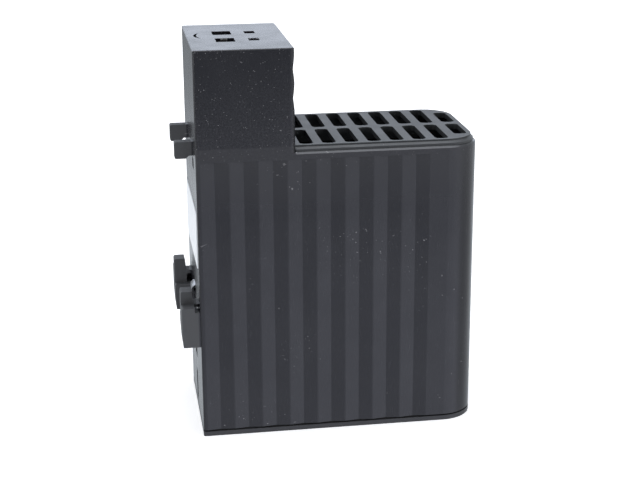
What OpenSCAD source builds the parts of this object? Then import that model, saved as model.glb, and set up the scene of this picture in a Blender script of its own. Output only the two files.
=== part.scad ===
// Compact touch-safe heater for a control cabinet. A fluted L-shaped housing clips on a
// top-hat rail. Its duct holds a finned heating profile between a slotted base and a grille,
// and its tower holds two spring clamps for the supply wires.
// Lengths are in millimetres. The origin is the middle of the rail seat on the rear face:
// X runs across the width, Y points from the front towards the rail, Z points up.

/* [Housing] */
// Width of the housing
body_width = 38; // [36:0.5:44]
// Depth of the housing from its front to the rail face
body_depth = 70.3; // [66:0.1:80]
// Height of the rim that carries the grille, above the base
rim_height = 72.7; // [70:0.1:76]
// Height of the terminal tower above the base
tower_height = 98; // [96:0.5:110]
// Depth of the terminal tower
tower_depth = 24.1; // [23:0.1:28]
// Thickness of the side and front walls
wall = 2; // [1.6:0.1:2.4]
// Thickness of the rear wall that carries the rail claws
rear_wall = 2.6; // [2.2:0.1:3.2]
// Thickness of the tower's top wall
top_wall = 2.2; // [1.8:0.1:3]
// Radius of the two front corners
corner_radius = 8.4; // [6:0.1:10]
// Radius of the tower's front edges
tower_edge_radius = 1.2; // [0.6:0.1:2]
// Radius of the rear edges
rear_edge_radius = 0.5; // [0.2:0.1:1]
// Chamfer along the front of the tower's top
tower_chamfer = 0.3; // [0.3:0.1:1]
// Small chamfer along the sides and the rear of the tower's top
tower_break = 0.2; // [0.1:0.05:0.3]
// Thickness of the ledges inside the walls
ledge = 1.2; // [0.8:0.1:1.5]
// Height of the ledge under the grille's rear edge
ledge_height = 2.4; // [1.5:0.1:4]
// Height of the sloped ledges under the terminal carrier
carrier_ledge_height = 3.6; // [2:0.1:5]
// Width across the crescent mark on the tower's top
mark_width = 8.2; // [5:0.1:10]
// Rise of the crescent's outer arc
mark_rise = 1.7; // [1.2:0.1:2.5]
// Thickness of the crescent at its middle
mark_thickness = 0.7; // [0.3:0.05:1]
// Depth of the crescent
mark_depth = 0.5; // [0.2:0.05:0.8]
// Distance of the crescent from the rail face
mark_start = 1.8; // [1:0.1:2.5]
// Distance of the crescent's middle from the middle of the housing
mark_offset = 2; // [0:0.1:4]
// Width of the chamfer along the rim
rim_chamfer = 0.8; // [0.4:0.1:1]
// Drop of the chamfer along the rim
rim_chamfer_drop = 0.43; // [0.2:0.01:0.8]

/* [Flutes] */
// Distance between two ridges of the fluted walls
flute_pitch = 7.05; // [5:0.05:7.2]
// Depth of a flute
flute_depth = 0.45; // [0.2:0.05:0.7]
// Width of the flat land on a ridge
ridge_land = 0.3; // [0.1:0.1:1]
// Number of flutes on each side wall
side_flutes = 8; // [3:1:8]
// Plain strip between the rail face and the first flute
side_flute_start = 0.9; // [0.8:0.1:3]
// Plain band between the flutes and the rim
flute_band = 1.75; // [1:0.05:6]
// Number of flutes across the tower's front
tower_flutes = 2; // [1:1:2]
// Plain band between the tower's top and its first flute
tower_flute_start = 1.6; // [1.2:0.1:4]

/* [Rail claws] */
// Height of the rail's centre line above the base
rail_axis_height = 53.5; // [50:0.5:58]
// Width of the rail across its two flanges
rail_width = 35; // [34.5:0.1:35.5]
// Thickness of the rail's flange
rail_flange = 1; // [0.8:0.1:1.3]
// How far claws and hooks reach behind the rail face
claw_reach = 4.5; // [4:0.1:6]
// Width of an upper claw
claw_width = 2.6; // [1.8:0.1:4]
// Distance between the upper claws, centre to centre
claw_spacing = 18.9; // [12:0.1:20]
// Thickness of an upper claw above the rail's edge
claw_thickness = 3.45; // [2.5:0.05:5]
// How far an upper claw's lip hangs over the rail's edge
claw_lip = 0.75; // [0.4:0.05:1]
// Length of the ramp from the rail's seat to the lip
claw_ramp = 0.8; // [0.4:0.1:1.2]
// Radius of the outer edges of claws and hooks
claw_radius = 0.45; // [0.2:0.05:0.8]
// Width of a lower hook
hook_width = 3.8; // [3:0.1:4.5]
// Distance between the lower hooks, centre to centre
hook_spacing = 26.4; // [22:0.1:27]
// How far a lower hook stands up behind the rail's edge
hook_catch = 1.5; // [1:0.1:2.5]
// Depth of the slot between a lower hook and the rear face
hook_slot_depth = 3.2; // [2.5:0.1:4]
// Width of that slot at its floor
hook_slot_floor = 1.3; // [1.3:0.1:1.6]
// Widening of that slot from its floor to its mouth
hook_slot_flare = 0.4; // [0.2:0.1:1]
// Thickness of the bridge under the slot
hook_bridge = 0.8; // [0.5:0.1:1.2]
// Drop from the slot's floor to the ledge on a hook's inner side
hook_step = 3.3; // [2.5:0.1:4.5]
// Width of that ledge
hook_ledge = 1.7; // [1:0.1:2.5]
// Depth of the notch that carries on the slot beside a hook
hook_notch = 1.2; // [0.6:0.1:2]
// Height of the block under a hook, below the slot's floor
hook_block = 10.3; // [8:0.1:13]
// Distance from a hook block to the side of the housing
hook_side_gap = 0.4; // [0.2:0.1:1.5]
// Inward taper at the foot of a hook block
hook_taper = 0.2; // [0.2:0.1:1]
// Height of that taper
hook_taper_height = 4; // [2:0.1:6]
// Width of the recess under an upper claw
recess_width = 4.2; // [1.5:0.1:5]
// Height of the recess under an upper claw
recess_height = 2.7; // [1.5:0.1:4]
// Depth of the recesses in the rear wall
recess_depth = 1.4; // [0.8:0.1:1.6]
// Width of the release slot between the lower hooks
release_slot_width = 5; // [4:0.1:6]
// Height of the release slot's foot above the base
release_slot_foot = 14.8; // [12:0.1:18]
// Width of the lower recess under the release slot
low_recess_width = 3.6; // [2:0.1:6]
// Height of the lower recess
low_recess_height = 8; // [4:0.1:8]
// Height of the lower recess's foot above the base
low_recess_foot = 2.6; // [2.2:0.1:3.5]
// How far the rail spring's bow stands out of the release slot
rail_bow_rise = 0.95; // [0.5:0.05:1.2]
// Outer radius of the rail spring's bow
rail_bow = 1.3; // [1:0.1:1.5]
// Gap between the rail spring's bow and the rail's edge
rail_play = 1.2; // [0.3:0.1:1.5]
// Length of the rail spring below its bow
rail_spring_leg = 9; // [6:0.5:12]

/* [Label] */
// Width of the blank label on the rear face
label_width = 34; // [24:0.5:34.5]
// Height of the blank label
label_height = 14.4; // [8:0.1:20]
// Drop of the label's middle below the rail's centre line
label_drop = 2.5; // [0:0.1:4]
// Thickness of the label
label_thickness = 0.2; // [0.1:0.05:0.3]
// Corner radius of the label
label_radius = 1; // [0.5:0.1:2]

/* [Base cover] */
// Visible edge of the base cover
base_edge = 1.2; // [0.8:0.1:2]
// Height of the shadow seam above the base cover
seam_gap = 0.4; // [0.2:0.1:0.8]
// Depth of the shadow seam
seam_depth = 0.8; // [0.4:0.1:1.2]
// Thickness of the base cover's plug inside the walls
plug_wall = 1.4; // [1:0.1:1.5]
// Height of that plug
plug_height = 3; // [2:0.1:4]
// Depth of a post under the heating profile
post_depth = 3; // [2:0.1:5]
// Length of a snap tab
tab_length = 7; // [5:0.5:9]
// Height of a snap tab above the plug's foot
tab_height = 8; // [6:0.1:8]

/* [Outlet grille] */
// Height of the grille's flange above the rim
flange_height = 0.95; // [0.7:0.05:1.2]
// Height of the grille's panel above its flange
panel_step = 0.4; // [0.2:0.05:0.8]
// Width of the flange's chamfer
flange_chamfer = 0.9; // [0.5:0.1:1.1]
// Drop of the flange's chamfer
flange_chamfer_drop = 0.4; // [0.2:0.05:0.6]
// Distance from the flange's front to the front of the housing
flange_front = 0.6; // [0.2:0.1:0.8]
// Distance from the panel's sides to the sides of the housing
panel_side = 2; // [1.5:0.1:2.6]
// Distance from the panel's front to the front of the housing
panel_front = 1; // [0.9:0.1:1.6]
// Width of a slot
slot_width = 3.35; // [2.5:0.05:4]
// Distance between two slots, middle to middle
slot_pitch = 5.6; // [5:0.05:7]
// Radius of a slot's corners
slot_radius = 1.2; // [0.4:0.1:1.2]
// Distance from a slot's end to the side of the housing
slot_side = 3; // [2.9:0.1:5]
// Width of the bar between the two rows of slots
middle_bar = 2.2; // [2:0.1:5]
// Distance from the first slot to the tower
slot_start = 1.45; // [1.4:0.05:3]
// How much the front pair of slots is shorter
corner_slot_cut = 4; // [3:0.1:6]
// Height of the grille's locating rails
lid_rail_height = 6; // [5:0.1:8]
// Thickness of the grille's locating rails
lid_rail = 0.8; // [0.8:0.1:1.5]

/* [Heating element] */
// Height of the heating profile's foot above the base
profile_foot = 10; // [7:0.5:12]
// Distance from the rim down to the heating profile
profile_drop = 30; // [28:0.5:34]
// Thickness of the ribs that guide the profile
guide = 1.2; // [0.8:0.1:1.6]
// Depth of the ribs that guide the profile
guide_depth = 3; // [2:0.1:4]
// Gap between the profile and its guides
guide_gap = 0.2; // [0.1:0.05:0.4]
// Gap between the fins and the side walls
fin_gap = 1.7; // [1:0.1:4]
// Thickness of a fin
fin = 1.2; // [0.8:0.1:1.6]
// Distance between two fins
fin_pitch = 4.2; // [3.5:0.1:6]
// Thickness of the profile's middle web
web = 2.4; // [1.8:0.1:3]
// Thickness of the wall round the heating stack
core_wall = 2.4; // [1.5:0.1:3]
// Depth of the heating stack
stack_depth = 20; // [16:0.5:24]
// Thickness of a heating stone
stone = 2.1; // [1.5:0.1:2.6]
// Depth of a heating stone
stone_depth = 15; // [10:0.5:15]
// Distance from the heating stones to the profile's ends
stack_margin = 3.4; // [2:0.1:5]
// Distance between the two heating stones
stone_gap = 2; // [1.5:0.1:3]
// Thickness of electrode and contact strips
strip = 0.5; // [0.3:0.05:0.8]
// Thickness of the insulating sleeve
film = 0.3; // [0.2:0.05:0.5]
// Thickness of the pressing plate
press_plate = 1.5; // [1:0.1:2]
// Width of the push-on tabs
tab_width = 4; // [3:0.1:5]
// Height of an electrode's tab above the profile
tab_rise = 6; // [5.5:0.1:7]
// Distance of an electrode's tab from the stack's middle
tab_offset = 4; // [3.5:0.1:5]

/* [Terminals] */
// Distance between the two poles
pole_spacing = 10.5; // [9.5:0.1:13]
// Width of a wire entry
entry_width = 5.3; // [5:0.1:6]
// Depth of a wire entry
entry_depth = 4.65; // [4.2:0.05:5]
// Distance from the rail face to a wire entry
entry_start = 6.65; // [6.2:0.05:7]
// Width of a release slot in the top
release_width = 3.4; // [3:0.1:5]
// Depth of a release slot in the top
release_depth = 2.6; // [2:0.1:3]
// Distance from the rail face to a release slot in the top
release_start = 14.65; // [14:0.05:15]
// Height of the terminal carrier
carrier_height = 16.8; // [15:0.1:18]
// Thickness of the carrier's top web
carrier_web = 1.2; // [1:0.1:2]
// Width of a carrier pocket
pocket_width = 6.4; // [6.2:0.1:7]
// Depth from the rail face to a pocket's front
pocket_front = 18.8; // [18:0.1:19.2]
// Width of a clamp spring
spring_width = 5; // [4:0.1:5.5]
// Outer radius of a clamp spring's bow
spring_bow = 2.8; // [2:0.1:3]
// Height of the clamping edge above the carrier's foot
clamp_rise = 4; // [3:0.1:5]
// Length of the tags under the carrier
tag_length = 6; // [5.5:0.1:7]
// Width of a contact bar
contact_width = 5.2; // [5.2:0.1:5.8]
// Distance from the rail face to a contact bar's tongue in the wire entry
tongue_start = 8; // [7.5:0.1:8.5]
// Depth of that tongue
tongue_depth = 1.7; // [1:0.1:2]
// Height of a contact bar's cheek below that tongue
cheek_height = 3.6; // [2:0.1:4]
// Width of the notches in a clamp spring's lug
lug_notch = 0.4; // [0.2:0.05:0.5]

/* [Leads] */
// Radius of a lead over its insulation
lead_radius = 1; // [0.7:0.1:1.2]
// Radius of a lead's bends, at its middle
lead_bend = 3.5; // [3:0.1:4]
// Thickness of a push-on terminal round its tab
shell = 0.75; // [0.5:0.05:0.9]
// Height of a push-on terminal's box
box_height = 5; // [4:0.1:5]
// Length of a push-on terminal's barrel
barrel = 4; // [3:0.1:4.5]
// Thickness of the grommet round a lead
grommet_wall = 1.2; // [0.8:0.1:1.6]
// Rim of the grommet over the partition
grommet_rim = 0.8; // [0.5:0.1:1.2]

/* [Fits] */
// Clearance between covers, inserts and walls
clearance = 0.15; // [0.1:0.05:0.25]
// Height of the snap beads
bead = 0.4; // [0.3:0.05:0.5]

/* [Hidden] */
$fn = 64;

// Overrun of cutting shapes past the faces that they cut
over = 1;
// Running gap of a free end inside a pocket
end_gap = 0.1;

black = [0.10, 0.10, 0.11];
dark_metal = [0.16, 0.16, 0.17];
silver = [0.75, 0.75, 0.77];
brass = [0.78, 0.62, 0.30];
label_white = [0.87, 0.88, 0.90];
stone_grey = [0.30, 0.29, 0.28];
film_amber = [0.75, 0.48, 0.16];
lead_white = [0.85, 0.84, 0.80];

half_width = body_width / 2;
duct_half = half_width - wall;
duct_front = body_depth - wall;
chamber_front = tower_depth - wall;
tower_roof = tower_height - top_wall;
seam_top = base_edge + seam_gap;
ridge_rise = flute_depth * ridge_land / (flute_pitch - ridge_land);
flute_top = rim_height - flute_band;

rail_top = rail_axis_height + rail_width / 2;
rail_bottom = rail_axis_height - rail_width / 2;
lip_foot = rail_top - claw_lip;
claw_root = rear_wall / 2;
hook_top = rail_bottom + hook_catch;
slot_floor = hook_top - hook_slot_depth;
ledge_top = slot_floor - hook_step;
block_foot = slot_floor - hook_block;
bow_middle = rail_bottom - rail_play - rail_bow;

bead_drop = 1.5;
bead_half = 0.6;
lid_bead_height = rim_height - lid_rail_height + bead_drop;
base_bead_height = seam_top + tab_height - bead_drop;
straight_front = body_depth - corner_radius;
side_middle = (tower_depth + straight_front) / 2;

flange_side = rim_chamfer + end_gap;
flange_top = rim_height + flange_height;
panel_top = flange_top + panel_step;
grille_slot_end = half_width - slot_side;
base_slot_end = duct_half - clearance - plug_wall - end_gap;
slot_room = duct_front - end_gap - tower_depth - slot_start;
slot_columns = floor((slot_room + slot_pitch - slot_width) / slot_pitch);

profile_top = rim_height - profile_drop;
profile_length = profile_top - profile_foot;
stone_height = (profile_length - 2 * stack_margin - stone_gap) / 2;
stack_width = 2 * film + 2 * strip + stone + press_plate;
stack_left = -stack_width / 2;
electrode_left_x = stack_left + film;
stone_x = electrode_left_x + strip;
electrode_right_x = stone_x + stone;
sleeve_right = electrode_right_x + strip + film;
stack_middle = (tower_depth + duct_front) / 2;
sleeve_half = stack_depth / 2;
strip_half = sleeve_half - film;
fin_room = duct_front - tower_depth - 2 * guide_depth - 2 * fin;
fin_count = floor(fin_room / fin_pitch) + 1;
core_half = sleeve_half + core_wall;
lower_stone_foot = profile_foot + stack_margin;
upper_stone_foot = lower_stone_foot + stone_height + stone_gap;

carrier_foot = tower_roof - carrier_height;
pocket_roof = tower_roof - carrier_web;
tag_foot = carrier_foot - tag_length;
tag_middle = entry_start - strip / 2;
bow_height = pocket_roof - spring_bow - end_gap;
clamp_height = carrier_foot + clamp_rise;
leg_height = carrier_foot + clamp_rise / 2;
bow_steps = 18;

electrode_socket = profile_top + tab_rise - box_height + over;
electrode_lead_start = electrode_socket + box_height + end_gap;
tag_socket = tag_foot + box_height - over;
tag_lead_end = tag_socket - box_height - end_gap;
lead_height = electrode_socket + box_height + barrel + end_gap + lead_bend;
grommet_half = pole_spacing / 2 + lead_radius + grommet_wall;
grommet_height = lead_radius + grommet_wall;
grommet_radius = lead_radius + grommet_wall / 2;

// Radius of an arc over the crescent's width, from its rise
function arc_radius(rise) = (pow(mark_width / 2, 2) + rise * rise) / (2 * rise);

function zigzag(count) = [
    for (i = [0:2 * count])
        [i * flute_pitch / 2, i % 2 == 0 ? ridge_rise : -flute_depth]
];

// Places everything so that the rail seat is the origin
module at_rail() {
    translate([0, 0, -rail_axis_height]) children();
}

// Extrudes a profile drawn in Y and Z along X
module along_x(low, high) {
    translate([low, 0, 0]) rotate([90, 0, 90]) linear_extrude(high - low) children();
}

// Extrudes a profile drawn in X and Z over a stretch of depth behind the rail face
module along_depth(near, far) {
    translate([0, -near, 0]) rotate([90, 0, 0]) linear_extrude(far - near) children();
}

// A box between two corners
module block(low, high) {
    translate(low) cube(high - low);
}

// A rectangle between two corners, with round corners
module round_box(low, high, radius) {
    size = high - low;
    translate([low.x, low.y + radius]) square([size.x, size.y - 2 * radius]);
    translate([low.x + radius, low.y]) square([size.x - 2 * radius, size.y]);
    for (x = [low.x + radius, high.x - radius], y = [low.y + radius, high.y - radius])
        translate([x, y]) circle(radius);
}

// A plan with two round front corners, from a depth behind the rail face to a front
module front_plan(half, front, radius, back) {
    translate([-half, -(front - radius)]) square([2 * half, front - radius - back]);
    translate([-(half - radius), -front]) square([2 * (half - radius), front - back]);
    for (side = [-1, 1])
        translate([side * (half - radius), -(front - radius)]) circle(radius);
}

// Plan of the housing at an inset from its walls
module plan(inset, back) {
    front_plan(half_width - inset, body_depth - inset, corner_radius - inset, back);
}

// Plan of a block behind the rail face, with two edge radii
module tower_plan(front, front_radius, back_radius) {
    translate([-half_width, -(front - front_radius)])
        square([body_width, front - front_radius - back_radius]);
    translate([-(half_width - front_radius), -front])
        square([body_width - 2 * front_radius, front - back_radius]);
    translate([-(half_width - back_radius), -back_radius])
        square([body_width - 2 * back_radius, back_radius]);
    for (side = [-1, 1]) {
        translate([side * (half_width - front_radius), -(front - front_radius)]) circle(front_radius);
        translate([side * (half_width - back_radius), -back_radius]) circle(back_radius);
    }
}

// Plan of the air duct in front of the partition
module duct_plan(inset) {
    plan(wall + inset, tower_depth + inset);
}

// Plan of the wiring chamber behind the partition
module chamber_plan(inset) {
    half = duct_half - inset;
    translate([-half, -(chamber_front - inset)])
        square([2 * half, chamber_front - rear_wall - 2 * inset]);
}

// Section of a chamfer cut on an edge at a reach, below a top face
module chamfer_section(reach, width, drop, top) {
    polygon([
        [reach - width, top],
        [reach - width, top + over],
        [reach + over, top + over],
        [reach + over, top - drop],
        [reach, top - drop],
    ]);
}

// Cuts a chamfer round the top edge of a plan at an inset from the sides
module edge_cut(inset, front, width, drop, top) {
    half = half_width - inset;
    radius = corner_radius - inset;
    for (side = [0, 1]) mirror([side, 0, 0]) {
        along_depth(tower_depth, front - radius) chamfer_section(half, width, drop, top);
        translate([half - radius, -(front - radius), 0]) rotate([0, 0, -90])
            rotate_extrude(angle = 90) chamfer_section(radius, width, drop, top);
    }
    along_x(-(half - radius), half - radius) mirror([1, 0])
        chamfer_section(front, width, drop, top);
}

// The two rows of air slots up to an end, as a flat pattern
module vent_slots(end) {
    for (column = [0:slot_columns - 1], side = [0, 1]) {
        near = tower_depth + slot_start + column * slot_pitch;
        cut = column == slot_columns - 1 ? corner_slot_cut : 0;
        mirror([side, 0])
            round_box([middle_bar / 2, -near - slot_width],
                [end - cut, -near], slot_radius);
    }
}

// Section of a snap bead that stands out from a face
module bead_section(face, height, rise) {
    half = bead_half * rise / bead;
    polygon([[face, height - half], [face + rise, height], [face, height + half]]);
}

// Grooves in the side walls for the snap beads of one cover
module bead_grooves(height, starts, length) {
    for (start = starts, side = [0, 1]) mirror([side, 0, 0])
        along_depth(start - clearance, start + length + clearance)
            bead_section(duct_half - clearance, height, bead + end_gap);
}

module tower_block() {
    edge = tower_height - tower_break;
    inner = half_width - tower_break;
    intersection() {
        translate([0, 0, seam_top]) linear_extrude(tower_height - seam_top)
            tower_plan(tower_depth, tower_edge_radius, rear_edge_radius);
        along_x(-half_width - over, half_width + over) polygon([
            [0, 0], [0, edge], [-tower_break, tower_height],
            [tower_chamfer - tower_depth, tower_height],
            [-tower_depth, tower_height - tower_chamfer], [-tower_depth, 0],
        ]);
        along_depth(-over, tower_depth + over) polygon([
            [-half_width, 0], [-half_width, edge], [-inner, tower_height],
            [inner, tower_height], [half_width, edge], [half_width, 0],
        ]);
    }
}

module main_block() {
    rear = tower_depth / 2;
    translate([0, 0, seam_top]) linear_extrude(rim_height - seam_top) plan(0, rear);
}

// Vertical flutes of one side wall
module side_flute_cut() {
    last = side_flute_start + side_flutes * flute_pitch;
    translate([0, 0, -over]) linear_extrude(flute_top + over) polygon(concat(
        [[half_width + over, -side_flute_start]],
        [for (p = zigzag(side_flutes)) [half_width + p.y, -side_flute_start - p.x]],
        [[half_width + over, -last]]
    ));
}

// Level flutes across the tower's front
module tower_flute_cut() {
    first = tower_height - tower_flute_start;
    last = first - tower_flutes * flute_pitch;
    along_x(-half_width - over, half_width + over) polygon(concat(
        [[-tower_depth - over, first]],
        [for (p = zigzag(tower_flutes)) [-tower_depth - p.y, first - p.x]],
        [[-tower_depth - over, last]]
    ));
}

// Profile of an upper claw: a nose whose lip drops behind the rail's upper edge
module claw_profile() {
    lip_start = rail_flange + claw_ramp;
    difference() {
        round_box([-claw_root, lip_foot], [claw_reach, rail_top + claw_thickness], claw_radius);
        polygon([
            [-claw_root - over, rail_top], [rail_flange, rail_top], [lip_start, lip_foot],
            [lip_start, lip_foot - over], [-claw_root - over, lip_foot - over],
        ]);
    }
}

// Profile of a lower hook up to a height: block, bridged slot and standing arm
module hook_profile(top) {
    relief = min(hook_slot_floor, hook_step - hook_bridge) / 2;
    difference() {
        hook_cheek(top);
        polygon([
            [0, slot_floor], [hook_slot_floor, slot_floor],
            [hook_slot_floor + hook_slot_flare, hook_top + end_gap],
            [hook_slot_floor + hook_slot_flare, hook_top + over],
            [-claw_root - over, hook_top + over], [-claw_root - over, slot_floor],
        ]);
        translate([0, ledge_top]) square([2 * relief, slot_floor - hook_bridge - relief - ledge_top]);
        translate([relief, slot_floor - hook_bridge - relief]) circle(relief);
    }
}

// A lower hook: an outer cheek flush with the side, the arm, and a ledge on its inner side
module lower_hook() {
    inner = (hook_spacing - hook_width) / 2;
    outer = (hook_spacing + hook_width) / 2;
    along_x(inner, outer) hook_profile(hook_top);
    along_x(outer, half_width - hook_side_gap) difference() {
        hook_cheek(slot_floor);
        translate([-claw_root - over, slot_floor - hook_notch])
            square([claw_root + over + hook_slot_floor, hook_notch + over]);
    }
    along_x(inner - hook_ledge, inner) hook_cheek(ledge_top);
}

// Solid profile beside a hook's arm, up to a height
module hook_cheek(top) {
    difference() {
        round_box([-claw_root, block_foot], [claw_reach, top], claw_radius);
        polygon([
            [claw_reach, block_foot + hook_taper_height], [claw_reach - hook_taper, block_foot],
            [claw_reach - hook_taper, block_foot - over], [claw_reach + over, block_foot - over],
            [claw_reach + over, block_foot + hook_taper_height],
        ]);
    }
}

// Claws and hooks of the rail mount
module rail_mount() {
    for (side = [0, 1]) mirror([side, 0, 0]) {
        along_x((claw_spacing - claw_width) / 2, (claw_spacing + claw_width) / 2) claw_profile();
        lower_hook();
    }
}

// Recesses under the upper claws, the release slot between the lower hooks, and the one under it
module rear_recesses() {
    for (side = [-1, 1]) {
        middle = side * claw_spacing / 2;
        block([middle - recess_width / 2, -recess_depth, lip_foot - recess_height],
            [middle + recess_width / 2, over, lip_foot]);
    }
    block([-release_slot_width / 2, -recess_depth, release_slot_foot],
        [release_slot_width / 2, over, rail_bottom]);
    block([-low_recess_width / 2, -recess_depth, low_recess_foot],
        [low_recess_width / 2, over, low_recess_foot + low_recess_height]);
}

// Ribs that guide the profile's web at both ends of the duct, each pair closed by a stop
module profile_guides() {
    outer = web / 2 + guide_gap + guide;
    inner = web / 2 + guide_gap;
    for (ends = [[tower_depth - wall / 2, tower_depth + guide_depth],
                 [duct_front - guide_depth, duct_front + wall / 2]]) {
        for (side = [0, 1]) mirror([side, 0, 0])
            block([inner, -ends[1], seam_top + plug_height + over], [outer, -ends[0], profile_top]);
        block([-outer, -ends[1], profile_top], [outer, -ends[0], profile_top + guide]);
    }
}

// Ledges inside the housing that carry the grille's rear edge and the terminal carrier
module inner_ledges() {
    middle = (rear_wall + chamber_front) / 2;
    foot = carrier_foot - carrier_ledge_height;
    block([-duct_half - wall / 2, -tower_depth - ledge, rim_height - ledge_height],
        [duct_half + wall / 2, -tower_depth + wall / 2, rim_height]);
    for (side = [0, 1]) mirror([side, 0, 0])
        along_depth(middle - tab_length / 2, middle + tab_length / 2) polygon([
            [duct_half - ledge, carrier_foot], [duct_half + wall / 2, carrier_foot],
            [duct_half + wall / 2, foot], [duct_half, foot],
        ]);
}

// Wire entries and release slots, cut down from above a face
module pole_openings(foot, top) {
    for (side = [-1, 1]) {
        middle = side * pole_spacing / 2;
        block([middle - entry_width / 2, -entry_start - entry_depth, foot],
            [middle + entry_width / 2, -entry_start, top]);
        block([middle - release_width / 2, -release_start - release_depth, foot],
            [middle + release_width / 2, -release_start, top]);
    }
}

// Sunk crescent on the tower's top
module crescent_mark() {
    outer = arc_radius(mark_rise);
    inner = arc_radius(mark_rise - mark_thickness);
    translate([mark_offset, -mark_start, tower_height - mark_depth])
        linear_extrude(mark_depth + over) difference() {
            translate([0, -outer]) circle(outer);
            translate([0, -mark_thickness - inner]) circle(inner);
        }
}

// Opening in the partition that the grommet fills
module lead_opening(gap) {
    round_box([-grommet_half - gap, lead_height - grommet_height - gap],
        [grommet_half + gap, lead_height + grommet_height + gap], grommet_radius);
}

module housing() {
    color(black) at_rail() difference() {
        union() {
            difference() {
                union() {
                    main_block();
                    tower_block();
                }
                translate([0, 0, -over]) linear_extrude(rim_height + 2 * over) duct_plan(0);
                translate([0, 0, -over]) linear_extrude(tower_roof + over) chamber_plan(0);
            }
            rail_mount();
            profile_guides();
            inner_ledges();
        }
        edge_cut(0, body_depth, rim_chamfer, rim_chamfer_drop, rim_height);
        for (side = [0, 1]) mirror([side, 0, 0]) side_flute_cut();
        tower_flute_cut();
        rear_recesses();
        pole_openings(tower_roof - over, tower_height + over);
        crescent_mark();
        along_depth(chamber_front - over, tower_depth + over) lead_opening(end_gap);
        bead_grooves(lid_bead_height, [side_middle - tab_length / 2], tab_length);
        bead_grooves(base_bead_height, base_tab_starts(), tab_length);
    }
}

function base_tab_starts() = [tower_depth + 2 * ledge, straight_front - tab_length];

// Locating rail and snap bead of the grille on one side
module lid_side() {
    face = duct_half - clearance;
    start = side_middle - tab_length / 2;
    block([face - lid_rail, -straight_front, rim_height - lid_rail_height],
        [face, -tower_depth - 2 * ledge, rim_height + flange_height / 2]);
    along_depth(start, start + tab_length) bead_section(face, lid_bead_height, bead);
}

// Raised panel of the grille, closer to the housing's front than to its sides
module panel_plan() {
    front_plan(half_width - panel_side, body_depth - panel_front, corner_radius - panel_front,
        tower_depth + end_gap);
}

module outlet_grille() {
    front = body_depth - flange_front;
    color(black) at_rail() {
        difference() {
            union() {
                difference() {
                    translate([0, 0, rim_height]) linear_extrude(flange_height)
                        front_plan(half_width - flange_side, front, corner_radius - flange_side,
                            tower_depth + end_gap);
                    edge_cut(flange_side, front, flange_chamfer, flange_chamfer_drop, flange_top);
                }
                translate([0, 0, rim_height]) linear_extrude(flange_height + panel_step)
                    panel_plan();
                for (side = [0, 1]) mirror([side, 0, 0]) lid_side();
            }
            translate([0, 0, rim_height - over]) linear_extrude(panel_top - rim_height + 2 * over)
                vent_slots(grille_slot_end);
        }
    }
}

// Snap tab of the base cover at one place on one side
module base_tab(start) {
    face = duct_half - clearance;
    block([face - plug_wall, -start - tab_length, seam_top - seam_gap],
        [face, -start, seam_top + tab_height]);
    along_depth(start, start + tab_length) bead_section(face, base_bead_height, bead);
}

// Posts on the base cover's middle bar that carry the heating profile
module profile_posts() {
    for (end = [-1, 1]) {
        middle = -stack_middle + end * (core_half - post_depth / 2);
        block([-middle_bar / 2, middle - post_depth / 2, base_edge],
            [middle_bar / 2, middle + post_depth / 2, profile_foot]);
    }
}

module base_cover() {
    color(black) at_rail() difference() {
        union() {
            linear_extrude(base_edge) {
                plan(0, tower_depth / 2);
                tower_plan(tower_depth, rear_edge_radius, rear_edge_radius);
            }
            linear_extrude(seam_top) plan(seam_depth, seam_depth);
            linear_extrude(seam_top + plug_height) difference() {
                duct_plan(clearance);
                duct_plan(clearance + plug_wall);
            }
            linear_extrude(seam_top + plug_height) difference() {
                chamber_plan(clearance);
                chamber_plan(clearance + plug_wall);
            }
            for (start = base_tab_starts(), side = [0, 1]) mirror([side, 0, 0]) base_tab(start);
            profile_posts();
        }
        translate([0, 0, -over]) linear_extrude(seam_top + plug_height + 2 * over)
            vent_slots(base_slot_end);
    }
}

module rear_label() {
    low = rail_axis_height - label_drop - label_height / 2;
    color(label_white) at_rail() along_depth(-label_thickness, 0)
        round_box([-label_width / 2, low], [label_width / 2, low + label_height], label_radius);
}

// Leaf spring in the release slot, its bow standing out under the rail's edge
module rail_spring() {
    half = release_slot_width / 2 - clearance;
    centre = [rail_bow_rise - rail_bow, bow_middle];
    neck = bow_middle - rail_bow;
    color(silver) at_rail() along_x(-half, half) polygon(concat(
        [[strip - recess_depth, neck - rail_spring_leg], [strip - recess_depth, neck]],
        [for (p = half_round([0, 0], rail_bow, -1)) centre + [p.y, p.x]],
        [for (p = half_round([0, 0], rail_bow - strip, 1)) centre + [p.y, p.x]],
        [[-recess_depth, neck + strip], [-recess_depth, neck - rail_spring_leg]]
    ));
}

// Section of the extruded heating profile
module profile_section() {
    half = duct_half - fin_gap;
    core = stack_width / 2 + core_wall;
    first = stack_middle - (fin_count - 1) * fin_pitch / 2;
    difference() {
        union() {
            translate([-web / 2, -(duct_front - guide_gap)])
                square([web, duct_front - tower_depth - 2 * guide_gap]);
            translate([-core, -stack_middle - core_half]) square([2 * core, 2 * core_half]);
            for (i = [0:fin_count - 1])
                translate([-half, -(first + i * fin_pitch) - fin / 2]) square([2 * half, fin]);
        }
        translate([-stack_width / 2, -stack_middle - sleeve_half])
            square([stack_width, 2 * sleeve_half]);
    }
}

module heat_sink() {
    color(dark_metal) at_rail() translate([0, 0, profile_foot])
        linear_extrude(profile_length) profile_section();
}

module pressing_plate() {
    color(silver) at_rail() block(
        [sleeve_right, -stack_middle - sleeve_half + guide_gap, profile_foot + guide],
        [stack_width / 2, -stack_middle + sleeve_half - guide_gap, profile_top - guide]);
}

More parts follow.
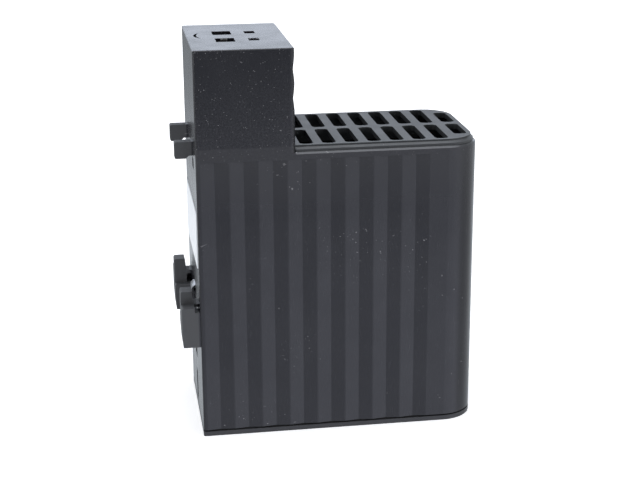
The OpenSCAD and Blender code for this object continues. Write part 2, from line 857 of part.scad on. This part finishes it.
module insulating_sleeve() {
    color(film_amber) at_rail() translate([0, 0, profile_foot]) linear_extrude(profile_length)
        difference() {
            translate([stack_left, -stack_middle - sleeve_half])
                square([sleeve_right - stack_left, 2 * sleeve_half]);
            translate([electrode_left_x, -stack_middle - strip_half])
                square([sleeve_right - stack_left - 2 * film, 2 * strip_half]);
        }
}

// A flat electrode with its push-on tab
module electrode(left, offset) {
    middle = -stack_middle + offset;
    color(brass) at_rail() {
        block([left, -stack_middle - strip_half, profile_foot + guide],
            [left + strip, -stack_middle + strip_half, profile_top - guide]);
        block([left, middle - tab_width / 2, profile_top - 2 * guide],
            [left + strip, middle + tab_width / 2, profile_top + tab_rise]);
    }
}

module electrode_left() {
    electrode(electrode_left_x, tab_offset);
}

module electrode_right() {
    electrode(electrode_right_x, -tab_offset);
}

// Frame that keeps the two stones apart between the electrodes
module stone_frame() {
    color(lead_white) at_rail() difference() {
        block([stone_x + end_gap, -stack_middle - strip_half, profile_foot + guide],
            [stone_x + stone - end_gap, -stack_middle + strip_half, profile_top - guide]);
        for (foot = [lower_stone_foot, upper_stone_foot])
            block([stone_x - over, -stack_middle - stone_depth / 2 - end_gap, foot - end_gap],
                [stone_x + stone + over, -stack_middle + stone_depth / 2 + end_gap,
                    foot + stone_height + end_gap]);
    }
}

module heating_stone(foot) {
    color(stone_grey) at_rail() block([stone_x, -stack_middle - stone_depth / 2, foot],
        [stone_x + stone, -stack_middle + stone_depth / 2, foot + stone_height]);
}

module heating_stone_upper() {
    heating_stone(upper_stone_foot);
}

module heating_stone_lower() {
    heating_stone(lower_stone_foot);
}

// Where a pole's lead leaves its electrode and where it ends under its contact bar
function electrode_point(side) = side < 0
    ? [electrode_left_x + strip / 2, -stack_middle + tab_offset]
    : [electrode_right_x + strip / 2, -stack_middle - tab_offset];
function contact_point(side) = [side * pole_spacing / 2, -tag_middle];
function lead_run(side) = contact_point(side) - electrode_point(side);

// Quarter bend of a lead in its own upright plane
module lead_elbow(start) {
    rotate([90, 0, 0]) rotate([0, 0, start]) rotate_extrude(angle = 90)
        translate([lead_bend, 0]) circle(lead_radius);
}

// A lead in one upright plane: up from the electrode, level through the grommet, up to the tag
module lead(side) {
    start = electrode_point(side);
    run = norm(lead_run(side));
    heading = atan2(lead_run(side).y, lead_run(side).x);
    color(lead_white) at_rail() translate([start.x, start.y, 0]) rotate([0, 0, heading]) {
        translate([0, 0, electrode_lead_start])
            cylinder(h = lead_height - lead_bend - electrode_lead_start, r = lead_radius);
        translate([lead_bend, 0, lead_height - lead_bend]) lead_elbow(90);
        translate([lead_bend, 0, lead_height]) rotate([0, 90, 0])
            cylinder(h = run - 2 * lead_bend, r = lead_radius);
        translate([run - lead_bend, 0, lead_height + lead_bend]) lead_elbow(-90);
        translate([run, 0, lead_height + lead_bend])
            cylinder(h = tag_lead_end - lead_height - lead_bend, r = lead_radius);
    }
}

module lead_left() {
    lead(-1);
}

module lead_right() {
    lead(1);
}

// A push-on terminal: a box over a tab, and a barrel over a lead
module push_on_terminal() {
    half_box = strip / 2 + end_gap / 2;
    half_tab = tab_width / 2 + end_gap;
    difference() {
        union() {
            block([-half_box - shell, -half_tab - shell, 0],
                [half_box + shell, half_tab + shell, box_height]);
            translate([0, 0, box_height - over / 2])
                cylinder(h = barrel + over / 2, r = lead_radius + shell);
        }
        block([-half_box, -half_tab, -over], [half_box, half_tab, box_height - over + end_gap]);
        translate([0, 0, box_height + end_gap]) cylinder(h = barrel + over, r = lead_radius + end_gap / 2);
    }
}

module push_on_terminals() {
    color(silver) at_rail() for (side = [-1, 1]) {
        low = electrode_point(side);
        high = contact_point(side);
        translate([low.x, low.y, electrode_socket]) push_on_terminal();
        translate([high.x, high.y, tag_socket]) rotate([180, 0, 90]) push_on_terminal();
    }
}

// Soft grommet in the partition, grooved over its edge and bored along both leads
module lead_grommet() {
    color(dark_metal) at_rail() difference() {
        union() {
            along_depth(chamber_front, tower_depth) lead_opening(0);
            along_depth(chamber_front - grommet_rim, chamber_front) lead_opening(grommet_rim);
            along_depth(tower_depth, tower_depth + grommet_rim) lead_opening(grommet_rim);
        }
        for (side = [-1, 1]) {
            start = electrode_point(side);
            run = lead_run(side);
            translate([start.x, start.y, lead_height]) rotate([0, 0, atan2(run.y, run.x)])
                rotate([0, 90, 0]) cylinder(h = norm(run), r = lead_radius + end_gap / 2);
        }
    }
}

module terminal_carrier() {
    color(dark_metal) at_rail() difference() {
        translate([0, 0, carrier_foot]) linear_extrude(carrier_height) chamber_plan(clearance);
        for (side = [-1, 1]) {
            middle = side * pole_spacing / 2;
            block([middle - pocket_width / 2, -pocket_front, carrier_foot - over],
                [middle + pocket_width / 2, -entry_start + strip, pocket_roof]);
        }
        pole_openings(pocket_roof - over, tower_roof + over);
    }
}

// A contact bar on the rear face of its pocket, with a tag below the carrier, and with a cheek
// whose tongue lines the inner side of the wire entry
module contact_bar(side) {
    middle = pole_spacing / 2;
    cheek = middle - entry_width / 2 + end_gap;
    bar_top = pocket_roof - over;
    tongue_front = tongue_start + tongue_depth;
    color(brass) at_rail() mirror([side < 0 ? 1 : 0, 0, 0]) {
        block([middle - contact_width / 2, -entry_start, carrier_foot + over],
            [middle + contact_width / 2, -entry_start + strip, bar_top]);
        block([cheek, -tongue_front, bar_top - cheek_height],
            [cheek + strip, -entry_start + strip / 2, bar_top]);
        block([cheek, -tongue_front, bar_top - over],
            [cheek + strip, -tongue_start, tower_height - end_gap]);
        block([middle - tab_width / 2, -entry_start, tag_foot],
            [middle + tab_width / 2, -entry_start + strip, carrier_foot + 2 * over]);
    }
}

module contact_bar_left() {
    contact_bar(-1);
}

module contact_bar_right() {
    contact_bar(1);
}

// Points on a half circle over a centre, from one side to the other
function half_round(centre, radius, side) = [
    for (i = [0:bow_steps]) centre + radius * [side * cos(180 * i / bow_steps), sin(180 * i / bow_steps)]
];

// Notched upper edge of a clamp spring's lug between two depths
function lug_edge(near, far, top) = [
    for (i = [1:2], p = [[1, 0], [1, -2], [-1, -2], [-1, 0]])
        [near + (far - near) * i / 3 + p.x * lug_notch / 2, top + p.y * lug_notch]
];

// A bent strip: a leg on the pocket's front face, a bow under the release slot, a clamping leg,
// and a lug that lines the inner side of the release slot
module clamp_spring(side) {
    middle = pole_spacing / 2;
    centre = [-pocket_front + spring_bow, bow_height];
    tip = -entry_start - end_gap;
    lug = middle - release_width / 2 + end_gap;
    near = -release_start - end_gap;
    far = -release_start - release_depth + end_gap;
    root = bow_height + spring_bow - strip * 3 / 4;
    top = tower_height - end_gap;
    color(silver) at_rail() mirror([side < 0 ? 1 : 0, 0, 0]) {
        along_x(lug, lug + strip) polygon(concat(
            [[near, root], [near, top]], lug_edge(near, far, top), [[far, top], [far, root]]
        ));
        along_x(middle - spring_width / 2, middle + spring_width / 2) polygon(concat(
            [[-pocket_front, leg_height]],
            half_round(centre, spring_bow, -1),
            [[tip, clamp_height + strip], [tip, clamp_height]],
            half_round(centre, spring_bow - strip, 1),
            [[-pocket_front + strip, leg_height]]
        ));
    }
}

module clamp_spring_left() {
    clamp_spring(-1);
}

module clamp_spring_right() {
    clamp_spring(1);
}

housing();
outlet_grille();
base_cover();
rear_label();
rail_spring();
heat_sink();
pressing_plate();
insulating_sleeve();
electrode_left();
electrode_right();
stone_frame();
heating_stone_upper();
heating_stone_lower();
lead_left();
lead_right();
push_on_terminals();
lead_grommet();
terminal_carrier();
contact_bar_left();
contact_bar_right();
clamp_spring_left();
clamp_spring_right();
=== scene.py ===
import math

import bpy
from mathutils import Matrix, Vector


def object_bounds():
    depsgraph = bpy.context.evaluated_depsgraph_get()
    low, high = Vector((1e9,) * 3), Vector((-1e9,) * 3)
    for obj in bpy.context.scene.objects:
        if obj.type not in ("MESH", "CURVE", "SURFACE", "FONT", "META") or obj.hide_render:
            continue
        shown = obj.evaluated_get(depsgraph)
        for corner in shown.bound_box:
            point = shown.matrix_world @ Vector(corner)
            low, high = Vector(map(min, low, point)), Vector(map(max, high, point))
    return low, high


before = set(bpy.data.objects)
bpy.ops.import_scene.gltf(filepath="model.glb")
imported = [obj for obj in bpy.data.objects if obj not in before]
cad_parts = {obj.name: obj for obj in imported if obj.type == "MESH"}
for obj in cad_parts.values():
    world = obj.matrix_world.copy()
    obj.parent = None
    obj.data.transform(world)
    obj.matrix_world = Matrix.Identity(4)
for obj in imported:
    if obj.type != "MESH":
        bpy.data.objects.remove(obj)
cad_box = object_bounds()
scene = bpy.context.scene

MM = 0.001
WHITE = (1.0, 1.0, 1.0)
RANGE_SOCKETS = ("From Min", "From Max", "To Min", "To Max")
MID_NOISE = (0.3, 0.7)

# Patterns in the moulded plastic, as the size of their lumps
MOTTLE_SIZE = 14 * MM
SHEEN_SIZE = 6 * MM
WAVE_SIZE = 2.5 * MM
GRAIN_SIZE = 0.22 * MM
SCUFF_SIZE = 0.9 * MM
GRIME_SIZE = 0.5 * MM
PATCH_SIZE = 16 * MM
CLUSTER_SIZE = 1.5 * MM
LINT_SIZE = 0.6 * MM
SCUFF_STRETCH = (1.0, 6.0, 0.35)
LINT_STRETCH = (1.0, 0.5, 0.9)

# Specks of dust: the cells that can hold one, and its radius
FINE_SPECK = (0.8 * MM, 0.12 * MM)
LINT_SPECK = (0.9 * MM, 0.09 * MM)
LONE_SPECK = (3.5 * MM, 0.13 * MM)
FINE_EXCESS = 1.3

# Spans over which the plastic changes, behind the rail face along Y and upwards along Z
# Painted light: the rail parts behind the rail face are painted paler, standing in for the light that falls
# on them, and they are also made rougher
RAIL_PAINTED_LIGHT_AND_ROUGHNESS_RISE = (0.1 * MM, 0.6 * MM)
SKIRT_RISE = (4 * MM, 17 * MM)
SKIRT_END = (20.5 * MM, 21.0 * MM)
TOWER_RISE = (14 * MM, 24 * MM)
# Painted light: the tower's grime fades upwards, so its side is painted lighter at the foot and darker at
# the top, as light falls there
GRIME_AND_PAINTED_LIGHT_FADE = (24 * MM, 40 * MM)

# What lies on the plastic, and the painted light and roughness on the rail parts
SCUFF_COLOR = (0.16, 0.16, 0.17)
# Painted light: the paler colour of the rail parts behind the rail face, standing in for light falling on
# them
PAINTED_RAIL_LIGHT_COLOR = (0.060, 0.062, 0.066)
RAIL_ROUGHNESS = 0.55
# Grime colour, which also paints the tower's foot lighter where the grime is strongest
GRIME_AND_PAINTED_LIGHT_COLOR = (0.20, 0.20, 0.21)
FLECK_COLOR = (0.30, 0.30, 0.31)

# Rolling directions of the metal strips
ALONG_HEIGHT = (1.0, 1.0, 0.05)
ALONG_PROFILE = (1.0, 1.0, 0.04)
ALONG_SPRING = (1.0, 0.08, 0.08)

# The room that reflections see. A direction runs across to the far side, along to the rail and up in height
SIDE_SPAN = (-0.5, 0.4)
FRONT_SPAN = (-0.42, 0.10)
NEAR_TINT = (0.92, 0.95, 1.10)
NEAR_SPAN = (-0.45, -0.15)
NEAR_LEVELS = (0.85, 0.90, 0.95, 1.10, 0.95, 0.05, 0.0)
NEAR_FRONT = 1.7
FAR_TINT = (0.885, 0.945, 1.01)
FAR_SPAN = (-0.4, 0.4)
FAR_LEVELS = (0.70, 1.15, 0.45, 0.4, 0.55, 0.90, 0.95, 0.75, 0.55)
FAR_FRONT = 1.1
FRONT_END = (-0.7, -0.95)
REAR_END = (0.5, 0.85)
END_TINT = (0.93, 0.96, 1.03)
END_LEVEL = 0.7

# Light on the object, and the floor
AMBIENT_TINT = (0.94, 0.97, 1.0)
AMBIENT_LEVEL = 0.33
FLOOR_COLOR = (0.90, 0.90, 0.90)
FLOOR_ROUGHNESS = 0.9
FLOOR_REACH = 4.0
GLOW_SPAN = (0.10, 0.45)
GLOW = (0.50, 0.75)

# Lamps: name, place, aim, size in metres, power in watts and colour
LAMPS = (
    ("overhead", (0.10, -0.03, 0.70), (0.0, -0.03, 0.0), (0.7, 0.7), 3.8, (0.94, 0.97, 1.05)),
    ("far_side", (0.75, -0.12, 0.16), (0.0, -0.03, 0.03), (0.9, 0.15), 0.34, (0.88, 0.97, 1.20)),
    ("front_key", (-0.40, -0.62, 0.22), (0.0, -0.03, 0.0), (0.35, 0.5), 1.8, WHITE),
    ("rear_fill", (-0.40, 0.60, 0.15), (0.0, 0.0, 0.0), (0.5, 0.4), 2.6, WHITE),
)

# The camera fitted to the photograph, with angles in degrees and the focal length in its pixels
CAMERA_TURN = 8.7722
CAMERA_LIFT = 17.5375
CAMERA_ROLL = -0.2920
CAMERA_AIM = Vector((-19.0, -29.8475, -3.0707)) * MM
CAMERA_DISTANCE = 351.751 * MM
FOCAL_PIXELS = 1435.85
PHOTO_WIDTH = 640.0
SENSOR_WIDTH = 36.0
CLIP_START = 0.01


class Nodes:
    """A node tree with short ways to add and link nodes."""

    def __init__(self, tree):
        self.tree = tree

    def add(self, kind, **settings):
        node = self.tree.nodes.new(kind)
        for key, value in settings.items():
            setattr(node, key, value)
        return node

    def feed(self, socket, value):
        """Link a socket to another one, or set its own value."""
        if isinstance(value, bpy.types.NodeSocket):
            self.tree.links.new(value, socket)
        else:
            socket.default_value = value

    def axes(self, place):
        """The X, Y and Z of a place or direction."""
        node = self.add("ShaderNodeSeparateXYZ")
        self.feed(node.inputs[0], place)
        return node.outputs["X"], node.outputs["Y"], node.outputs["Z"]

    def math(self, operation, one, two):
        node = self.add("ShaderNodeMath", operation=operation)
        self.feed(node.inputs[0], one)
        self.feed(node.inputs[1], two)
        return node.outputs["Value"]

    def product(self, one, two):
        return self.math("MULTIPLY", one, two)

    def larger(self, one, two):
        return self.math("MAXIMUM", one, two)

    def spread(self, value, span, to=(0.0, 1.0), shape="LINEAR"):
        """A value's span, spread over another span and held at its ends."""
        node = self.add("ShaderNodeMapRange", clamp=True, interpolation_type=shape)
        self.feed(node.inputs["Value"], value)
        for key, number in zip(RANGE_SOCKETS, (*span, *to)):
            node.inputs[key].default_value = number
        return node.outputs["Result"]

    def ramp(self, value, span, to=(0.0, 1.0)):
        """The same with smooth ends."""
        return self.spread(value, span, to, "SMOOTHSTEP")

    def levels(self, value, span, numbers):
        """Numbers set out evenly over a value's span."""
        node = self.add("ShaderNodeValToRGB")
        stops = node.color_ramp.elements
        while len(stops) < len(numbers):
            stops.new(0.5)
        for index, (stop, number) in enumerate(zip(stops, numbers)):
            stop.position = index / (len(numbers) - 1)
            stop.color = (number, number, number, 1.0)
        self.feed(node.inputs[0], self.spread(value, span))
        return node.outputs["Color"]

    def background(self, color, strength):
        node = self.add("ShaderNodeBackground")
        node.inputs["Color"].default_value = (*color, 1.0)
        self.feed(node.inputs["Strength"], strength)
        return node.outputs[0]

    def mixed(self, share, one, two):
        """Shader one where share is 0, and shader two where it is 1."""
        node = self.add("ShaderNodeMixShader")
        for socket, value in zip(node.inputs, (share, one, two)):
            self.feed(socket, value)
        return node.outputs[0]


class Surface(Nodes):
    """One procedural material, drawn in the row frame's metres."""

    def __init__(self, name, metallic=0.0):
        self.material = bpy.data.materials.new(name)
        self.material.use_nodes = True
        super().__init__(self.material.node_tree)
        self.shader = self.tree.nodes["Principled BSDF"]
        self.shader.inputs["Metallic"].default_value = metallic
        self.place = self.add("ShaderNodeTexCoord").outputs["Object"]

    def stretched(self, scale):
        """Coordinates stretched by a factor along each axis."""
        node = self.add("ShaderNodeMapping")
        self.feed(node.inputs["Vector"], self.place)
        node.inputs["Scale"].default_value = scale
        return node.outputs["Vector"]

    def noise(self, size, detail, place=None):
        """Noise from 0 to 1 whose lumps are about a size across."""
        node = self.add("ShaderNodeTexNoise")
        self.feed(node.inputs["Vector"], place or self.place)
        node.inputs["Scale"].default_value = 1.0 / size
        node.inputs["Detail"].default_value = detail
        return node.outputs["Fac"]

    def blend(self, share, one, two):
        """Colour one where share is 0, and colour two where it is 1."""
        node = self.add("ShaderNodeMix", data_type="RGBA")
        self.feed(node.inputs["Factor"], share)
        for key, value in (("A", one), ("B", two)):
            socket = [s for s in node.inputs if s.name == key and s.type == "RGBA"][0]
            self.feed(socket, value if isinstance(value, bpy.types.NodeSocket) else (*value, 1.0))
        return [s for s in node.outputs if s.type == "RGBA"][0]

    def specks(self, cell, radius, share):
        """Round specks, one in some of the cells that fill space."""
        node = self.add("ShaderNodeTexVoronoi")
        self.feed(node.inputs["Vector"], self.place)
        node.inputs["Scale"].default_value = 1.0 / cell
        near = self.spread(node.outputs["Distance"], (0.5 * radius / cell, radius / cell), (1.0, 0.0))
        split = self.add("ShaderNodeSeparateColor")
        self.feed(split.inputs["Color"], node.outputs["Color"])
        chosen = self.math("LESS_THAN", split.outputs["Red"], share)
        return self.product(near, chosen)

    def bump(self, height, strength, depth, under=None):
        node = self.add("ShaderNodeBump")
        self.feed(node.inputs["Height"], height)
        node.inputs["Strength"].default_value = strength
        node.inputs["Distance"].default_value = depth
        if under:
            self.feed(node.inputs["Normal"], under)
        return node.outputs["Normal"]

    def finish(self, color, roughness, normal):
        self.feed(self.shader.inputs["Base Color"], color)
        self.feed(self.shader.inputs["Roughness"], roughness)
        self.feed(self.shader.inputs["Normal"], normal)
        return self.material


def skirted(s, color, height, skirt):
    """A paler skirt that starts at the rim's height and fades downwards."""
    share = s.product(s.spread(height, SKIRT_END, (1.0, 0.0)), s.spread(height, SKIRT_RISE))
    return s.blend(share, color, skirt)


def dusted(s, color, height, dust):
    """Grime and fine specks on the tower, lint in patches and lone specks all over; the grime fades
    upwards, which paints the tower lighter at its foot.
    """
    tower = s.spread(height, TOWER_RISE)
    grime_and_painted_light = s.product(s.spread(s.noise(GRIME_SIZE, detail=2.0), (0.45, 0.75), (0.0, 0.08)), tower)
    # Painted light: the grime fades upwards, so the tower's side is painted lighter at its foot and darker
    # at its top
    grime_and_painted_light = s.product(grime_and_painted_light, s.spread(height, GRIME_AND_PAINTED_LIGHT_FADE, (1.0, 0.1)))
    color = s.blend(grime_and_painted_light, color, GRIME_AND_PAINTED_LIGHT_COLOR)
    fine = s.product(s.specks(*FINE_SPECK, FINE_EXCESS * dust), tower)
    fine = s.product(fine, s.spread(s.noise(CLUSTER_SIZE, detail=2.0), (0.40, 0.65), (0.1, 0.8)))
    threads = s.spread(s.noise(LINT_SIZE, 1.0, s.stretched(LINT_STRETCH)), (0.74, 0.77))
    patches = s.spread(s.noise(PATCH_SIZE, detail=2.0), (0.50, 0.65), (0.0, 0.6))
    lint = s.product(s.larger(threads, s.specks(*LINT_SPECK, dust)), patches)
    flecks = s.larger(s.larger(fine, lint), s.specks(*LONE_SPECK, dust))
    return s.blend(flecks, color, FLECK_COLOR)


def moulded_plastic(name, dark, light, rough, dust=0.0, skirt=None, grain=GRAIN_SIZE):
    """Matt moulded plastic: rough is a span, dust the share of specks and skirt a colour below the rim."""
    s = Surface(name)
    color = s.blend(s.spread(s.noise(MOTTLE_SIZE, detail=4.0), (0.35, 0.65)), dark, light)
    scuffs = s.noise(SCUFF_SIZE, 2.0, s.stretched(SCUFF_STRETCH))
    color = s.blend(s.spread(scuffs, (0.66, 0.74), (0.0, 0.12)), color, SCUFF_COLOR)
    sheen = s.spread(s.noise(SHEEN_SIZE, detail=3.0), MID_NOISE, rough)
    if dust:
        _, depth, height = s.axes(s.place)
        if skirt:
            color = skirted(s, color, height, skirt)
        # Painted light: the rail parts behind the rail face are painted paler, and they are made rougher
        rail_painted_light_and_roughness = s.spread(depth, RAIL_PAINTED_LIGHT_AND_ROUGHNESS_RISE)
        color = s.blend(rail_painted_light_and_roughness, color, PAINTED_RAIL_LIGHT_COLOR)
        sheen = s.larger(sheen, s.product(rail_painted_light_and_roughness, RAIL_ROUGHNESS))
        color = dusted(s, color, height, dust)
    fine = s.bump(s.noise(grain, detail=2.0), strength=0.20, depth=0.03 * MM)
    waves = s.bump(s.noise(WAVE_SIZE, detail=2.0), strength=0.05, depth=0.05 * MM, under=fine)
    return s.finish(color, sheen, waves)


def rolled_metal(name, dark, light, rough, stretch):
    """Metal strip with fine lines along its rolling direction."""
    s = Surface(name, metallic=1.0)
    lines = s.noise(0.25 * MM, 3.0, s.stretched(stretch))
    color = s.blend(s.spread(lines, MID_NOISE), dark, light)
    sheen = s.spread(lines, MID_NOISE, (rough - 0.06, rough + 0.08))
    return s.finish(color, sheen, s.bump(lines, strength=0.2, depth=0.01 * MM))


def soft_skin(name, dark, light, rough, lump):
    """Rubber, film, plastic or ceramic with a mottled skin."""
    s = Surface(name)
    color = s.blend(s.spread(s.noise(lump, detail=4.0), MID_NOISE), dark, light)
    sheen = s.spread(s.noise(lump / 3, detail=2.0), MID_NOISE, (rough - 0.06, rough + 0.06))
    return s.finish(color, sheen, s.bump(s.noise(lump / 8, detail=2.0), strength=0.15, depth=0.02 * MM))


def paint(material, *names):
    for name in names:
        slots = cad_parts[name].data.materials
        slots.clear()
        slots.append(material)


def paint_part():
    """Give every node its finish."""
    paint(moulded_plastic("housing_plastic", (0.009, 0.0095, 0.0125), (0.012, 0.0125, 0.0155),
                          rough=(0.23, 0.27), dust=0.30, skirt=(0.0225, 0.0230, 0.0260)), "housing")
    paint(moulded_plastic("base_plastic", (0.026, 0.0265, 0.029), (0.034, 0.0345, 0.037),
                          rough=(0.36, 0.42), dust=0.30), "base_cover")
    paint(moulded_plastic("grille_plastic", (0.031, 0.034, 0.036), (0.037, 0.040, 0.042),
                          rough=(0.40, 0.46), dust=0.16), "outlet_grille")
    paint(moulded_plastic("carrier_plastic", (0.050, 0.050, 0.054), (0.070, 0.070, 0.075),
                          rough=(0.50, 0.60), grain=0.30 * MM), "terminal_carrier")
    paint(soft_skin("label_film", (0.85, 0.88, 0.91), (0.90, 0.92, 0.94),
                    rough=0.40, lump=5 * MM), "rear_label")
    paint(soft_skin("frame_plastic", (0.70, 0.69, 0.64), (0.78, 0.77, 0.72),
                    rough=0.50, lump=4 * MM), "stone_frame")
    paint(soft_skin("stone_ceramic", (0.16, 0.15, 0.14), (0.24, 0.23, 0.22),
                    rough=0.70, lump=1.5 * MM), "heating_stone_upper", "heating_stone_lower")
    paint(soft_skin("sleeve_film", (0.46, 0.23, 0.05), (0.56, 0.30, 0.08),
                    rough=0.25, lump=6 * MM), "insulating_sleeve")
    paint(soft_skin("lead_silicone", (0.68, 0.67, 0.63), (0.76, 0.75, 0.72),
                    rough=0.45, lump=3 * MM), "lead_left", "lead_right")
    paint(soft_skin("grommet_rubber", (0.020, 0.020, 0.020), (0.032, 0.032, 0.032),
                    rough=0.65, lump=2 * MM), "lead_grommet")
    paint(rolled_metal("profile_anodised", (0.090, 0.091, 0.095), (0.150, 0.151, 0.156),
                       rough=0.45, stretch=ALONG_PROFILE), "heat_sink")
    paint(rolled_metal("plate_aluminium", (0.62, 0.62, 0.64), (0.78, 0.78, 0.80),
                       rough=0.32, stretch=ALONG_HEIGHT), "pressing_plate")
    paint(rolled_metal("contact_brass", (0.58, 0.44, 0.20), (0.72, 0.57, 0.30),
                       rough=0.30, stretch=ALONG_HEIGHT), "electrode_left", "electrode_right")
    paint(rolled_metal("contact_tinned", (0.58, 0.57, 0.53), (0.74, 0.73, 0.69),
                       rough=0.30, stretch=ALONG_HEIGHT), "contact_bar_left", "contact_bar_right")
    paint(rolled_metal("spring_steel", (0.56, 0.56, 0.58), (0.74, 0.74, 0.76),
                       rough=0.26, stretch=ALONG_SPRING),
          "clamp_spring_left", "clamp_spring_right", "push_on_terminals", "rail_spring")


def studio_world():
    """White behind the object, plain ambient light, and a soft room in reflections."""
    world = bpy.data.worlds.new("studio")
    world.use_nodes = True
    scene.world = world
    w = Nodes(world.node_tree)
    path = w.add("ShaderNodeLightPath").outputs
    across, along, height = w.axes(w.add("ShaderNodeTexCoord").outputs["Generated"])
    near = w.product(w.levels(height, NEAR_SPAN, NEAR_LEVELS), w.ramp(along, FRONT_SPAN, (NEAR_FRONT, 1.0)))
    far = w.product(w.levels(height, FAR_SPAN, FAR_LEVELS), w.ramp(along, FRONT_SPAN, (FAR_FRONT, 1.0)))
    side = w.ramp(across, SIDE_SPAN, (1.0, 0.0))
    room = w.mixed(side, w.background(FAR_TINT, far), w.background(NEAR_TINT, near))
    ends = w.larger(w.ramp(along, FRONT_END), w.ramp(along, REAR_END))
    room = w.mixed(ends, room, w.background(END_TINT, END_LEVEL))
    lit = w.mixed(path["Is Glossy Ray"], w.background(AMBIENT_TINT, AMBIENT_LEVEL), room)
    shown = w.larger(path["Is Camera Ray"], path["Is Transmission Ray"])
    final = w.mixed(shown, lit, w.background(WHITE, 1.0))
    w.feed(w.tree.nodes["World Output"].inputs["Surface"], final)


def studio_floor():
    """A wide pale floor that looks white, keeps a soft shadow and lets reflections see the room."""
    height = cad_box[0][2]
    corners = [(-FLOOR_REACH, -FLOOR_REACH), (FLOOR_REACH, -FLOOR_REACH),
               (FLOOR_REACH, FLOOR_REACH), (-FLOOR_REACH, FLOOR_REACH)]
    mesh = bpy.data.meshes.new("floor")
    mesh.from_pydata([(x, y, height) for x, y in corners], [], [(0, 1, 2, 3)])
    floor = bpy.data.objects.new("floor", mesh)
    scene.collection.objects.link(floor)
    material = bpy.data.materials.new("floor")
    material.use_nodes = True
    mesh.materials.append(material)
    f = Nodes(material.node_tree)
    path = f.add("ShaderNodeLightPath").outputs
    pale = f.tree.nodes["Principled BSDF"]
    pale.inputs["Base Color"].default_value = (*FLOOR_COLOR, 1.0)
    pale.inputs["Roughness"].default_value = FLOOR_ROUGHNESS
    away = f.add("ShaderNodeVectorMath", operation="LENGTH")
    f.feed(away.inputs[0], f.add("ShaderNodeTexCoord").outputs["Object"])
    shown = f.larger(path["Is Camera Ray"], path["Is Transmission Ray"])
    light = f.add("ShaderNodeEmission")
    f.feed(light.inputs["Strength"], f.product(shown, f.ramp(away.outputs["Value"], GLOW_SPAN, GLOW)))
    both = f.add("ShaderNodeAddShader")
    f.feed(both.inputs[0], pale.outputs[0])
    f.feed(both.inputs[1], light.outputs[0])
    clear = f.add("ShaderNodeBsdfTransparent")
    final = f.mixed(path["Is Glossy Ray"], both.outputs[0], clear.outputs[0])
    f.feed(f.tree.nodes["Material Output"].inputs["Surface"], final)


def softbox(name, place, aim, size, power, color):
    data = bpy.data.lights.new(name, "AREA")
    data.color = color
    data.shape = "RECTANGLE"
    data.size, data.size_y = size
    data.energy = power
    lamp = bpy.data.objects.new(name, data)
    scene.collection.objects.link(lamp)
    lamp.location = place
    lamp.rotation_euler = (Vector(aim) - Vector(place)).to_track_quat("-Z", "Y").to_euler()


def photo_camera():
    """The photograph's camera: a long lens at the near side, a little above."""
    turn, lift, roll = (math.radians(angle) for angle in (CAMERA_TURN, CAMERA_LIFT, CAMERA_ROLL))
    back = Vector((-math.cos(turn) * math.cos(lift), math.sin(turn) * math.cos(lift), math.sin(lift)))
    level = Vector((-math.sin(turn), -math.cos(turn), 0.0))
    rise = back.cross(level)
    right = math.cos(roll) * level + math.sin(roll) * rise
    up = math.cos(roll) * rise - math.sin(roll) * level
    data = bpy.data.cameras.new("photo")
    data.sensor_width = SENSOR_WIDTH
    data.lens = FOCAL_PIXELS * SENSOR_WIDTH / PHOTO_WIDTH
    data.clip_start = CLIP_START
    camera = bpy.data.objects.new("photo", data)
    scene.collection.objects.link(camera)
    turned = Matrix((right, up, back)).transposed().to_4x4()
    camera.matrix_world = Matrix.Translation(CAMERA_AIM + back * CAMERA_DISTANCE) @ turned
    scene.camera = camera


paint_part()
studio_world()
studio_floor()
for lamp in LAMPS:
    softbox(*lamp)
photo_camera()
scene.view_settings.view_transform = "Standard"
